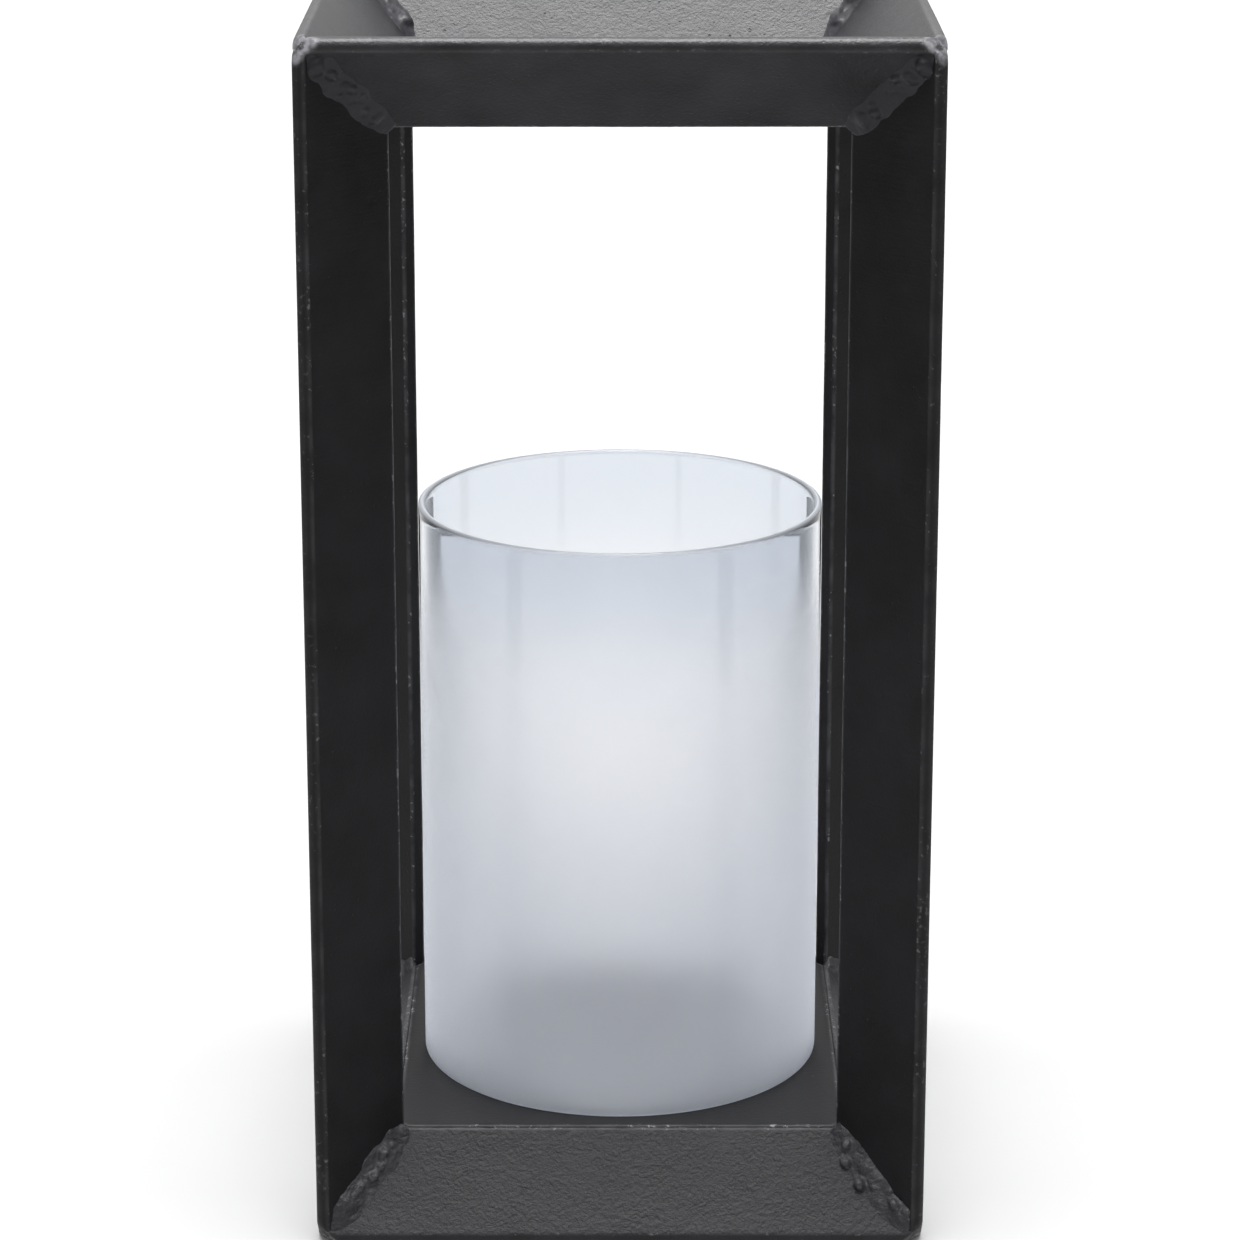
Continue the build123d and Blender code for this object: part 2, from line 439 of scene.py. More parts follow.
class WeldPuddles(ShapeTree):
    """Lays the overlapping puddles of a hand-run weld along wires, each with an outward direction."""

    def __init__(self) -> None:
        """Names the sizes of a puddle and its spacing, and how uneven the welder's hand was."""
        sizes = {
            "Spacing": "Float",
            "Puddle": "Vector",
            "Unevenness": "Float",
            "Wander": "Float",
            "Lump Chance": "Float",
            "Lump Growth": "Float",
            "Seed": "Int",
        }
        super().__init__("weld_puddles", sizes)

    def draw(self, low: float, high: float, shift: int) -> NodeSocket:
        """Draws one random number for each puddle, between two limits."""
        seed = self.add("ShaderNodeMath", {0: self.given["Seed"], 1: shift}, operation="ADD")
        number = self.add("FunctionNodeRandomValue", {2: low, 3: high, "Seed": seed}, data_type="FLOAT")
        return number.outputs[1]

    def build(self) -> NodeSocket:
        """Spaces the puddles along the wires, turns each to its weld and sizes it unevenly."""
        given = self.given
        wires = self.add("GeometryNodeMeshToCurve", {"Mesh": given["Geometry"]})
        run = self.add(
            "GeometryNodeResampleCurve",
            {"Curve": wires, "Length": given["Spacing"]},
            mode="LENGTH",
        )
        outward = self.add("GeometryNodeInputNamedAttribute", {"Name": "outward"}, data_type="FLOAT_VECTOR")
        tangent = self.add("GeometryNodeInputTangent")
        out_turn = self.add("FunctionNodeAlignRotationToVector", {"Vector": outward}, axis="X")
        turn = self.add(
            "FunctionNodeAlignRotationToVector",
            {"Rotation": out_turn, "Vector": tangent},
            axis="Z",
            pivot_axis="X",
        )
        side = self.add("ShaderNodeVectorMath", {0: outward, 1: tangent}, operation="CROSS_PRODUCT")
        wander = self.add(
            "ShaderNodeMath", {0: self.draw(-1.0, 1.0, 1), 1: given["Wander"]}, operation="MULTIPLY"
        )
        shift = self.add("ShaderNodeVectorMath", {0: side, "Scale": wander}, operation="SCALE")
        moved = self.add("GeometryNodeSetPosition", {"Geometry": run, "Offset": shift})
        puddle = self.add("GeometryNodeMeshIcoSphere", {"Radius": 1.0, "Subdivisions": 3})
        spread = self.add(
            "ShaderNodeMath", {0: self.draw(-1.0, 1.0, 2), 1: given["Unevenness"]}, operation="MULTIPLY"
        )
        lump = self.add(
            "ShaderNodeMath", {0: self.draw(0.0, 1.0, 3), 1: given["Lump Chance"]}, operation="LESS_THAN"
        )
        growth = self.add("ShaderNodeMath", {0: lump, 1: given["Lump Growth"]}, operation="MULTIPLY")
        size = spread
        for more in (1.0, growth):
            size = self.add("ShaderNodeMath", {0: size, 1: more}, operation="ADD")
        scale = self.add("ShaderNodeVectorMath", {0: given["Puddle"], "Scale": size}, operation="SCALE")
        return self.add(
            "GeometryNodeInstanceOnPoints",
            {"Points": moved, "Instance": puddle, "Rotation": turn, "Scale": scale},
        ).outputs[0]


def new_piece(name: str, points: Iterable, edges: Iterable = (), faces: Iterable = ()) -> Object:
    """Makes one piece from its points.

    Args:
        name: the piece's name.
        points: its points, in metres.
        edges: pairs of points, for a wire.
        faces: rings of points.

    Returns:
        The new object, at the origin.
    """
    mesh = bpy.data.meshes.new(name)
    mesh.from_pydata(list(points), list(edges), list(faces))
    piece = bpy.data.objects.new(name, mesh)
    bpy.context.scene.collection.objects.link(piece)
    return piece


def store(piece: Object, name: str, kind: str, values: Iterable) -> None:
    """Stores one value at each point of a piece.

    Args:
        piece: the piece.
        name: the attribute's name.
        kind: its type, FLOAT or FLOAT_VECTOR.
        values: a number or a direction for each point.
    """
    layer = piece.data.attributes.new(name, kind, "POINT")
    key = "vector" if kind == "FLOAT_VECTOR" else "value"
    for item, value in zip(layer.data, values):
        setattr(item, key, value)


def settle(piece: Object, turned_sharply: float = 180.0) -> None:
    """Turns a piece's modifiers into its plain mesh, merged, with its faces outwards and shaded smooth.

    Args:
        piece: the piece.
        turned_sharply: the angle in degrees past which an edge is left sharp.
    """
    graph = bpy.context.evaluated_depsgraph_get()
    made = bpy.data.meshes.new_from_object(piece.evaluated_get(graph))
    piece.modifiers.clear()
    drawn, piece.data = piece.data, made
    bpy.data.meshes.remove(drawn)
    shape = bmesh.new()
    shape.from_mesh(made)
    bmesh.ops.remove_doubles(shape, verts=shape.verts, dist=MERGE_DISTANCE)
    bmesh.ops.recalc_face_normals(shape, faces=shape.faces)
    shape.to_mesh(made)
    shape.free()
    made.shade_smooth()
    if turned_sharply < 180.0:
        made.set_sharp_from_angle(angle=math.radians(turned_sharply))


@dataclass(frozen=True)
class BoxFrame:
    """The sizes that the whole frame is laid out from, read off the CAD parts."""

    half_width: float
    height: float
    inset: float
    rise: float
    half_thickness: float
    platform_low: float
    platform_high: float
    opening_half: float
    platform_half: float

    @classmethod
    def read(cls) -> "BoxFrame":
        """Reads the sizes off the boxes of the rails and the platform."""
        outer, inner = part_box("base_rail_front")
        low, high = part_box("candle_platform")
        opening_half, platform_half = -inner.y, high.x
        rise = (low.z + high.z) / 2
        return cls(
            half_width=-outer.y,
            height=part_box("top_rail_front")[1].z,
            inset=-outer.y - (opening_half + platform_half) / 2,
            rise=rise,
            half_thickness=math.hypot(high.z - rise, (platform_half - opening_half) / 2),
            platform_low=low.z,
            platform_high=high.z,
            opening_half=opening_half,
            platform_half=platform_half,
        )


@dataclass(frozen=True)
class Corner:
    """One of the frame's eight corners: its seam, and the three plates that meet on it."""

    frame: BoxFrame
    side: Vector

    @property
    def outer(self) -> Vector:
        """The corner's outermost point."""
        size = self.frame
        height = size.height if self.side.z > 0 else 0.0
        return Vector((self.side.x * size.half_width, self.side.y * size.half_width, height))

    @property
    def seam(self) -> Vector:
        """The line from the outer corner to the inner one, with its length."""
        size = self.frame
        return Vector((-self.side.x * size.inset, -self.side.y * size.inset, -self.side.z * size.rise))

    def spoke(self, which: Spoke) -> Vector:
        """The direction in which one plate leaves the seam, square to it."""
        along = self.plate_direction(which)
        seam = self.seam.normalized()
        return (along - seam * along.dot(seam)).normalized()

    def plate_direction(self, which: Spoke) -> Vector:
        """The direction of one plate's length, away from the corner."""
        directions = {
            Spoke.UPRIGHT: Vector((0, 0, -self.side.z)),
            Spoke.RAIL_ALONG_X: Vector((-self.side.x, 0, 0)),
            Spoke.RAIL_ALONG_Y: Vector((0, -self.side.y, 0)),
        }
        return directions[which]

    def mitre(self, own: Spoke, other: Spoke) -> float:
        """How far a plate's end draws back for each unit away from its middle plane.

        Args:
            own: the plate.
            other: the plate that it meets on that side.

        Returns:
            The draw-back, along the plate's length.
        """
        half_angle = self.spoke(own).angle(self.spoke(other)) / 2
        return 1 / (math.tan(half_angle) * self.plate_direction(own).dot(self.spoke(own)))


@dataclass(frozen=True)
class CastSurface:
    """How uneven a sand-cast surface is, in metres: each height goes with its spacing."""

    wave: tuple[float, float] = (0.35 * MM, 60 * MM)
    lump: tuple[float, float] = (0.12 * MM, 12 * MM)
    grain: tuple[float, float] = (0.10 * MM, 2.4 * MM)
    dent: tuple[float, float, float] = (0.30 * MM, 3.0 * MM, 14 * MM)
    facet: float = 9.5 * MM
    facet_softness: float = 4.0 * MM

    def put_on(self, piece: Object, skin: CastSkin, size: BoxFrame, material: Material, seed: int) -> None:
        """Roughens a piece.

        Args:
            piece: the smooth piece, in its place.
            skin: the tree that roughens it.
            size: the frame that it must stay within.
            material: the finish that it gets.
            seed: makes this piece's surface its own.
        """
        relief = (*self.wave, *self.lump, *self.grain, *self.dent)
        box = (size.half_width, size.height, self.facet, self.facet_softness)
        values = dict(zip(skin.NAMES, (*relief, *box, seed)))
        skin.put_on(piece, {**values, "Material": material})


@dataclass(frozen=True)
class SatinPaint:
    """Graphite-black satin paint on sand-cast aluminium.

    The paint is thin, so the mould's grain shows through it as fine bumps. It gives the eye a soft dark grey
    with a broad dull gloss on faces turned to the light, a paler colour along the edges that is partly paint
    worn thin by hands and partly a painted highlight, a grey on the upper ground corners that is partly
    metal through scuffed paint and partly a painted highlight, and a few bare nicks. The real grain is about
    half a millimetre across; it is drawn about twice as coarse, so that it shows.
    """

    name: str
    colour: str = "#171618"
    light_colour: str = "#1f1e21"
    # Paler colour along the edges: partly paint worn thin, partly a painted highlight.
    rubbed_and_highlight_colour: str = "#808083"
    nick_colour: str = "#b4b4b6"
    # Grey on the upper ground corners: partly bare metal, partly a painted highlight.
    ground_metal_and_highlight_colour: str = "#7b7b7f"
    roughness: float = 0.50
    roughness_spread: float = 0.08
    rubbed_roughness: float = 0.34
    gloss: float = 0.30
    mottle_size: float = 22 * MM
    mottle_levels: tuple[float, float] = (0.3, 0.7)
    grain_size: float = 1.1 * MM
    grain_depth: float = 0.12 * MM
    wrinkle_size: float = 2.6 * MM
    wrinkle_depth: float = 0.0
    scratch_depth: float = 0.0
    scratch_length: float = 30 * MM
    scratch_spacing: float = 0.9 * MM
    pore_depth: float = 0.0
    pore_spacing: float = 1.9 * MM
    pore_field: float = 24 * MM
    pore_levels: tuple[float, float] = (0.48, 0.66)
    pore_chance: float = 0.4
    pore_radius: tuple[float, float] = (0.05, 0.30)
    edge_turns: tuple[float, float] = (0.08, 0.30)
    # Strength of the pale edge mark: worn paint and a painted highlight.
    rub_and_highlight: float = 0.35
    rub_size: float = 9 * MM
    least_rub: float = 0.25
    rub_levels: tuple[float, float] = (0.35, 0.65)
    scuff_size: float = 2.5 * MM
    scuff_levels: tuple[float, float] = (0.36, 0.58)
    least_scuff: float = 0.35
    nick: float = 0.6
    nick_size: float = 1.8 * MM
    nick_run: float = 30 * MM
    nick_run_share: float = 0.32
    nick_levels: tuple[float, float] = (0.79, 0.86)
    speck: float = 0.0
    speck_spacing: float = 9 * MM
    speck_radius: tuple[float, float] = (0.03, 0.06)
    speck_chance: float = 0.16

    def material(self) -> Material:
        """Builds the paint's nodes."""
        material, add = new_material(self.name)
        place = add("ShaderNodeTexCoord").outputs["Object"]
        patches = add(
            "ShaderNodeTexNoise", {"Vector": place, "Scale": 1 / self.mottle_size, "Detail": 4.0}
        ).outputs[0]
        low, high = self.mottle_levels
        mottle = add("ShaderNodeMapRange", {"Value": patches, "From Min": low, "From Max": high})
        # The edge mark is partly paint worn thin and partly a painted highlight along the edges.
        rubbed_and_highlit, bare = self.rubbed_and_highlit(add, place), self.bare(add, place)
        # The ground mark is partly metal through scuffed paint and partly a painted highlight on the upper
        # corners.
        facet = add("ShaderNodeAttribute", attribute_name="ground").outputs["Fac"]
        scuff = add("ShaderNodeTexNoise", {"Vector": place, "Scale": 1 / self.scuff_size, "Detail": 3.0})
        low, high = self.scuff_levels
        thin = add(
            "ShaderNodeMapRange",
            {"Value": scuff, "From Min": low, "From Max": high, "To Min": self.least_scuff},
        )
        ground = add("ShaderNodeMath", {0: facet, 1: thin}, operation="MULTIPLY").outputs[0]
        colours = (self.light_colour, self.rubbed_and_highlight_colour, self.ground_metal_and_highlight_colour, self.nick_colour)
        tones = (linear(colour) for colour in colours)
        tone = linear(self.colour)
        for amount, next_tone in zip((mottle.outputs[0], rubbed_and_highlit, ground, bare), tones):
            mixed = add("ShaderNodeMix", {0: amount, 6: tone, 7: next_tone}, data_type="RGBA")
            tone = mixed.outputs[2]
        dull = add(
            "ShaderNodeMapRange",
            {
                "Value": patches,
                "To Min": self.roughness - self.roughness_spread,
                "To Max": self.roughness + self.roughness_spread,
            },
        )
        polish = add("ShaderNodeMix", {0: rubbed_and_highlit, 2: dull, 3: self.rubbed_roughness}, data_type="FLOAT")
        skin = add(
            "ShaderNodeBsdfPrincipled",
            {
                "Base Color": tone,
                "Roughness": polish,
                "Specular IOR Level": self.gloss,
                "Normal": self.relief(add, place),
            },
        )
        add("ShaderNodeOutputMaterial", {"Surface": skin})
        return material

    def edges(self, add: NodeAdder) -> NodeSocket:
        """Finds the edges and gives how sharply each turns, from 0 to 1."""
        edge = add("ShaderNodeAttribute", attribute_name="edge")
        least, most = self.edge_turns
        return add(
            "ShaderNodeMapRange", {"Value": edge.outputs["Fac"], "From Min": least, "From Max": most}
        ).outputs[0]

    def rubbed_and_highlit(self, add: NodeAdder, place: NodeSocket) -> NodeSocket:
        """Finds where the paint is worn thin along the edges, in patches, and where a painted highlight lies
        along them.

        Args:
            add: adds a node to the material.
            place: where each point is.

        Returns:
            How thin the paint is and how strong the painted edge highlight is, from 0 to 1.
        """
        cloud = add("ShaderNodeTexNoise", {"Vector": place, "Scale": 1 / self.rub_size, "Detail": 4.0})
        low, high = self.rub_levels
        patch = add(
            "ShaderNodeMapRange",
            {"Value": cloud, "From Min": low, "From Max": high, "To Min": self.least_rub, "To Max": 1.0},
        )
        amount = add("ShaderNodeMath", {0: self.edges(add), 1: patch}, operation="MULTIPLY")
        return add("ShaderNodeMath", {0: amount, 1: self.rub_and_highlight}, operation="MULTIPLY").outputs[0]

    def bare(self, add: NodeAdder, place: NodeSocket) -> NodeSocket:
        """Finds the bare nicks: small broken ones along edges, and a few specks on flat faces.

        Args:
            add: adds a node to the material.
            place: where each point is.

        Returns:
            How bare the metal is, from 0 to 1.
        """
        broken = add("ShaderNodeTexNoise", {"Vector": place, "Scale": 1 / self.nick_size, "Detail": 2.0})
        stretch = add("ShaderNodeTexNoise", {"Vector": place, "Scale": 1 / self.nick_run, "Detail": 1.0})
        few = add("ShaderNodeMath", {0: stretch, 1: self.nick_run_share}, operation="MULTIPLY")
        level = add("ShaderNodeMath", {0: broken, 1: few}, operation="ADD")
        least, most = self.nick_levels
        nicked = add(
            "ShaderNodeMapRange",
            {"Value": level, "From Min": least, "From Max": most, "To Max": self.nick},
        )
        nicks = add("ShaderNodeMath", {0: self.edges(add), 1: nicked}, operation="MULTIPLY")
        if not self.speck:
            return nicks.outputs[0]
        cells = add("ShaderNodeTexVoronoi", {"Vector": place, "Scale": 1 / self.speck_spacing})
        core, rim = self.speck_radius
        dot = add(
            "ShaderNodeMapRange",
            {
                "Value": cells.outputs["Distance"],
                "From Min": core,
                "From Max": rim,
                "To Min": self.speck,
                "To Max": 0.0,
            },
        )
        chance = add("ShaderNodeSeparateColor", {0: cells.outputs["Color"]})
        chosen = add("ShaderNodeMath", {0: chance, 1: self.speck_chance}, operation="LESS_THAN")
        specks = add("ShaderNodeMath", {0: dot, 1: chosen}, operation="MULTIPLY")
        return add("ShaderNodeMath", {0: nicks, 1: specks}, operation="MAXIMUM").outputs[0]

    def pores(self, add: NodeAdder, place: NodeSocket) -> dict[str, Node]:
        """Adds the small gas pores of a casting, which come in clusters.

        Args:
            add: adds a node to the material.
            place: where each point is.

        Returns:
            The bumped normal's node, by the name of the input that takes it.
        """
        cells = add("ShaderNodeTexVoronoi", {"Vector": place, "Scale": 1 / self.pore_spacing})
        core, rim = self.pore_radius
        pit = add(
            "ShaderNodeMapRange",
            {"Value": cells.outputs["Distance"], "From Min": core, "From Max": rim},
            interpolation_type="SMOOTHSTEP",
        )
        cloud = add("ShaderNodeTexNoise", {"Vector": place, "Scale": 1 / self.pore_field, "Detail": 1.0})
        low, high = self.pore_levels
        cluster = add("ShaderNodeMapRange", {"Value": cloud, "From Min": low, "From Max": high})
        chance = add("ShaderNodeSeparateColor", {0: cells.outputs["Color"]})
        chosen = add("ShaderNodeMapRange", {"Value": chance, "From Min": 1 - self.pore_chance})
        amount = add("ShaderNodeMath", {0: cluster, 1: chosen}, operation="MULTIPLY")
        look = {"Strength": amount, "Height": pit, "Distance": self.pore_depth}
        return {"Normal": add("ShaderNodeBump", look)}

    def relief(self, add: NodeAdder, place: NodeSocket) -> Node:
        """Adds the bumps that are too fine for the mesh: grain, wrinkles and grinding scratches.

        Args:
            add: adds a node to the material.
            place: where each point is.

        Returns:
            The bumped normal's node.
        """
        along, across = 1 / self.scratch_length, 1 / self.scratch_spacing
        level = add("ShaderNodeMapping", {"Vector": place, "Scale": (along, along, across)})
        layers = (
            (self.grain_depth, place, {"Scale": 1 / self.grain_size, "Detail": 3.0, "Roughness": 0.65}),
            (self.wrinkle_depth, place, {"Scale": 1 / self.wrinkle_size, "Detail": 3.0, "Distortion": 0.9}),
            (self.scratch_depth, level.outputs[0], {"Scale": 1.0, "Detail": 3.0}),
        )
        normal = self.pores(add, place) if self.pore_depth else {}
        for depth, where, look in layers:
            if depth:
                texture = add("ShaderNodeTexNoise", {"Vector": where, **look})
                bump = add("ShaderNodeBump", {"Height": texture, "Distance": depth, **normal})
                bump.inputs["Strength"].default_value = 1.0
                normal = {"Normal": bump}
        return normal["Normal"]


@dataclass(frozen=True)
class FrostedGlass:
    """Drawn soda-lime glass, sprayed with a frost that fades out towards the rim.

    The bare rim is clear and a little grey-blue. Lower down the frost blurs what is behind it and glows
    softly by itself, most of all where the wall is seen edge-on. The frost's real dots are too fine to see;
    its bumps are drawn coarser, at a little under a millimetre.
    """

    clear_height: float
    frosted_height: float
    foot_height: float
    name: str = "soda_lime_glass_ombre_frosted"
    rim_height: float = 0.0
    tint: str = "#d8dde4"
    frosted_tint: str = "#fdfdfe"
    frost_colour: str = "#edf1f8"
    ior: float = 1.5
    clear_roughness: float = 0.015
    frost_roughness: float = 0.23
    frost_share: float = 0.10
    foot_share: float = 0.41
    edge_share: float = 0.85
    dot_spread: float = 0.7
    rim_share: float = 0.5
    rim_depth: float = 2.0 * MM
    grain_size: float = 0.7 * MM
    grain_depth: float = 0.04 * MM
    unevenness: float = 12 * MM
    drift_size: float = 45 * MM
    edge_blend: float = 0.35

    def material(self) -> Material:
        """Builds the glass's nodes."""
        material, add = new_material(self.name)
        place = add("ShaderNodeTexCoord").outputs["Object"]
        height = add("ShaderNodeSeparateXYZ", {0: place})
        drift = add("ShaderNodeTexNoise", {"Vector": place, "Scale": 1 / self.drift_size, "Detail": 2.0})
        uneven = add(
            "ShaderNodeMapRange",
            {"Value": drift, "To Min": -self.unevenness, "To Max": self.unevenness},
        )
        grain = add("ShaderNodeTexNoise", {"Vector": place, "Scale": 1 / self.grain_size, "Detail": 2.0})
        level = add("ShaderNodeMath", {0: height.outputs["Z"], 1: uneven}, operation="ADD")
        frost = add(
            "ShaderNodeMapRange",
            {"Value": level, "From Min": self.clear_height, "From Max": self.frosted_height},
            interpolation_type="SMOOTHERSTEP",
        )
        depth = add(
            "ShaderNodeMapRange",
            {
                "Value": level,
                "From Min": self.frosted_height,
                "From Max": self.foot_height,
                "To Min": self.frost_share,
                "To Max": self.foot_share,
            },
        )
        haze = add(
            "ShaderNodeMapRange",
            {"Value": frost, "To Min": self.clear_roughness, "To Max": self.frost_roughness},
        )
        grain_height = add("ShaderNodeMath", {0: grain, 1: frost}, operation="MULTIPLY")
        bump = add(
            "ShaderNodeBump", {"Height": grain_height, "Distance": self.grain_depth, "Strength": 1.0}
        )
        glaze = add(
            "ShaderNodeMix",
            {0: frost, 6: linear(self.tint), 7: linear(self.frosted_tint)},
            data_type="RGBA",
        )
        clear = add(
            "ShaderNodeBsdfPrincipled",
            {
                "Base Color": glaze.outputs[2],
                "IOR": self.ior,
                "Roughness": haze,
                "Transmission Weight": 1.0,
                "Normal": bump,
            },
        )
        lit = add("ShaderNodeBsdfDiffuse", {"Color": linear(self.frost_colour)})
        glowing = add("ShaderNodeBsdfTranslucent", {"Color": linear(self.frost_colour)})
        scatter = add("ShaderNodeMixShader", {0: 0.5, 1: lit, 2: glowing})
        slant = add("ShaderNodeLayerWeight", {"Blend": self.edge_blend})
        edge = add("ShaderNodeMath", {0: slant.outputs["Facing"], 1: self.edge_share}, operation="MULTIPLY")
        share = add("ShaderNodeMath", {0: depth, 1: edge}, operation="ADD")
        share = add("ShaderNodeMath", {0: share, 1: frost}, operation="MULTIPLY")
        # Each dot of frost covers the glass by its own amount.
        dots = add("ShaderNodeTexWhiteNoise", {"Vector": place})
        cover = add(
            "ShaderNodeMapRange",
            {"Value": dots.outputs["Value"], "To Min": 1 - self.dot_spread, "To Max": 1 + self.dot_spread},
        )
        share = add("ShaderNodeMath", {0: share, 1: cover}, operation="MULTIPLY")
        rim = add(
            "ShaderNodeMapRange",
            {
                "Value": height.outputs["Z"],
                "From Min": self.rim_height - self.rim_depth,
                "From Max": self.rim_height,
                "To Max": self.rim_share,
            },
        )
        share = add("ShaderNodeMath", {0: share, 1: rim}, operation="MAXIMUM")
        mixed = add("ShaderNodeMixShader", {0: share, 1: clear, 2: scatter})
        add("ShaderNodeOutputMaterial", {"Surface": mixed})
        return material


@dataclass
class CastFrame:
    """The twelve mitred plates that make the open box."""

    size: BoxFrame
    skin: CastSkin
    section_step: float = 0.7 * MM
    upright_step: float = 1.1 * MM
    rail_step: float = 0.8 * MM
    overlap: float = 1.4 * MM
    outer_softness: float = 3.0 * MM
    foot_softness: float = 1.0 * MM
    shoulder_softness: float = 0.9 * MM
    inner_softness: float = 0.9 * MM
    sharp_angle: float = 50.0
    upright_surface: CastSurface = CastSurface(grain=(0.05 * MM, 2.6 * MM))
    base_surface: CastSurface = CastSurface(
        wave=(0.3 * MM, 45 * MM), lump=(0.22 * MM, 9 * MM), grain=(0.16 * MM, 2.4 * MM)
    )
    top_surface: CastSurface = CastSurface()
    upright_turns: Mapping = field(
        default_factory=lambda: {"front_left": 0, "front_right": 90, "back_right": 180, "back_left": 270}
    )
    rail_turns: Mapping = field(default_factory=lambda: {"front": 0, "right": 90, "back": 180, "left": 270})

    def __post_init__(self) -> None:
        """Makes the sweep, and the finishes of the uprights and the rails."""
        self.sweep = PlateSweep()
        # The uprights and rails wear one graphite paint, coloured apart as painted light and shade: darkest
        # on the uprights, lighter on the up-facing base and top rails.
        self.upright_paint = SatinPaint(
            "satin_paint_on_cast_upright",
            colour="#131214",
            light_colour="#1c1b1e",
            scratch_depth=0.07 * MM,
            pore_depth=0.20 * MM,
        ).material()
        self.base_paint = SatinPaint(
            "satin_paint_on_cast_base_rail",
            colour="#232225",
            light_colour="#2e2d30",
            gloss=0.34,
            grain_size=1.3 * MM,
            grain_depth=0.40 * MM,
            wrinkle_depth=0.30 * MM,
        ).material()
        self.top_paint = SatinPaint(
            "satin_paint_on_cast_top_rail",
            colour="#1a191c",
            light_colour="#2b2a2e",
            roughness=0.42,
            gloss=0.57,
            grain_depth=0.18 * MM,
            wrinkle_depth=0.16 * MM,
            pore_depth=0.30 * MM,
            rub_and_highlight=0.3,
        ).material()

    def outline(self, width: Vector) -> list[Vector]:
        """A plate's five-cornered section, its outer corner first.

        Args:
            width: from the outer corner to the middle of the inner edge.

        Returns:
            The corners, in the XY plane.
        """
        half = self.size.half_thickness
        across = Vector((width.y, -width.x, 0)).normalized() * half
        length = width.length
        return [
            Vector((0, 0, 0)),
            Vector((half * length / width.y, 0, 0)),
            width + across,
            width - across,
            Vector((0, half * length / width.x, 0)),
        ]

    def plate(
        self, name: str, width: Vector, outer_softness: float, values: Mapping, place: Matrix
    ) -> Object:
        """Sweeps one plate and puts it in its place, still smooth.

        Args:
            name: the piece's name.
            width: across the plate's section, from its outer corner to its inner edge.
            outer_softness: the radius of its outermost edge.
            values: the sizes that the sweep needs besides.
            place: takes the sweep's own axes to the frame's.

        Returns:
            The plate.
        """
        corners = self.outline(width)
        piece = new_piece(name, corners, [(i, (i + 1) % len(corners)) for i in range(len(corners))])
        inner, shoulder = self.inner_softness, self.shoulder_softness
        store(piece, "softness", "FLOAT", (outer_softness, shoulder, inner, inner, shoulder))
        self.sweep.put_on(piece, {"Width": width, "Section Step": self.section_step, **values})
        settle(piece)
        piece.data.transform(place)
        return piece

    def upright(self, name: str, turn: float) -> Object:
        """One upright, turned about Z from the front left corner."""
        size = self.size
        corner = Corner(size, Vector((-1, -1, -1)))
        values = {
            "Half Length": size.height / 2 + self.overlap,
            "Seam Run": size.rise,
            "Mitre Inside": corner.mitre(Spoke.UPRIGHT, Spoke.RAIL_ALONG_X),
            "Mitre Outside": corner.mitre(Spoke.UPRIGHT, Spoke.RAIL_ALONG_Y),
            "Step": self.upright_step,
        }
        stand = Matrix.Translation((-size.half_width, -size.half_width, size.height / 2))
        place = Matrix.Rotation(math.radians(turn), 4, "Z") @ stand
        return self.plate(name, Vector((size.inset, size.inset, 0)), self.outer_softness, values, place)

    def rail(self, level: Level, name: str, turn: float) -> Object:
        """One rail, turned about Z from the front."""
        size = self.size
        corner = Corner(size, Vector((-1, -1, -1)))
        values = {
            "Half Length": size.half_width + self.overlap,
            "Seam Run": size.inset,
            "Mitre Inside": corner.mitre(Spoke.RAIL_ALONG_X, Spoke.RAIL_ALONG_Y),
            "Mitre Outside": corner.mitre(Spoke.RAIL_ALONG_X, Spoke.UPRIGHT),
            "Step": self.rail_step,
        }
        up = -level.value
        ends = Matrix(((0, 0, up, 0), (1, 0, 0, 0), (0, up, 0, 0), (0, 0, 0, 1)))
        lift = size.height if level is Level.TOP else 0.0
        stand = Matrix.Translation((0, -size.half_width, lift)) @ ends
        place = Matrix.Rotation(math.radians(turn), 4, "Z") @ stand
        softness = self.foot_softness if level is Level.BASE else self.outer_softness
        return self.plate(name, Vector((size.inset, size.rise, 0)), softness, values, place)

    def make(self) -> Iterator[tuple[Object, str]]:
        """Makes every plate; gives each with the node that it stands for."""
        base_rail, top_rail = partial(self.rail, Level.BASE), partial(self.rail, Level.TOP)
        kinds = (
            (FirstSeed.UPRIGHT, self.upright, self.upright_turns, self.upright_surface, self.upright_paint),
            (FirstSeed.BASE_RAIL, base_rail, self.rail_turns, self.base_surface, self.base_paint),
            (FirstSeed.TOP_RAIL, top_rail, self.rail_turns, self.top_surface, self.top_paint),
        )
        for first, shape, turns, surface, paint in kinds:
            for seed, (place, turn) in enumerate(turns.items(), first.value):
                node = f"{first.name.lower()}_{place}"
                piece = shape(f"cast_{node}", turn)
                surface.put_on(piece, self.skin, self.size, paint, seed)
                settle(piece, self.sharp_angle)
                yield piece, node


@dataclass(frozen=True)
class WeldHand:
    """How a run of weld was laid: its puddles in metres, and how unsteady the hand was."""

    spacing: float
    puddle: tuple[float, float, float]
    unevenness: float
    wander: float
    lump_chance: float = 0.0
    lump_growth: float = 0.0

    def lay(self, piece: Object, tree: WeldPuddles, seed: int) -> None:
        """Lays the puddles along a piece's wires."""
        values = {
            "Spacing": self.spacing,
            "Puddle": self.puddle,
            "Unevenness": self.unevenness,
            "Wander": self.wander,
            "Lump Chance": self.lump_chance,
            "Lump Growth": self.lump_growth,
            "Seed": seed,
        }
        tree.put_on(piece, values)
        settle(piece)


@dataclass(frozen=True)
class Run:
    """One run of weld in the angle between two faces.

    The root is the line where the faces meet; each side is a face's direction away from it.
    """

    start: Vector
    end: Vector
    sides: tuple[Vector, Vector]

    @property
    def middle(self) -> Vector:
        """The direction out of the angle, halfway between its faces."""
        return (self.sides[0] + self.sides[1]).normalized()


